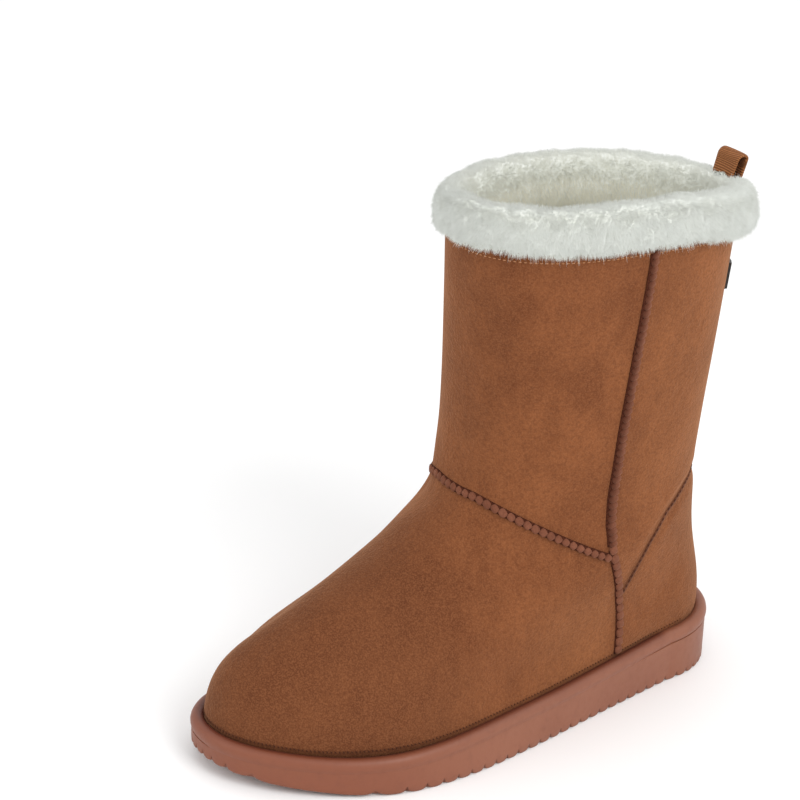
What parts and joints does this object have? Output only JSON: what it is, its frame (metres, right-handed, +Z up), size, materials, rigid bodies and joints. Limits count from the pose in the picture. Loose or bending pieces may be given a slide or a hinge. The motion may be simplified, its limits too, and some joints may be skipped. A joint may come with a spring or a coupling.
{
  "type": "winter riding boot",
  "caption": "Tall pull-on winter riding boot for the left foot: suede upper with overlocked seams, deep fur cuff at the collar, webbing pull loop and a cupped rubber sole with ribbed tread.",
  "frame": {"origin": "on the floor under the middle of the foot, in the flat face of the tread rib there", "axes": "+X to the outer side of the left foot, +Y from the toe to the heel, +Z up"},
  "size_m": [0.1248, 0.277, 0.2661],
  "materials": {
    "outsole": "semi-matte terracotta",
    "upper": "brushed chestnut suede",
    "insole": "cream fleece",
    "fur_cuff": "off-white long-pile fur",
    "pull_loop": "ribbed webbing",
    "back_badge": "plain, blank"
  },
  "bodies": {
    "root": {"outsole": "outsole", "upper": "upper", "insole": "insole", "fur_cuff": "fur_cuff", "pull_loop": "pull_loop", "back_badge": "back_badge"}
  },
  "joints": []
}
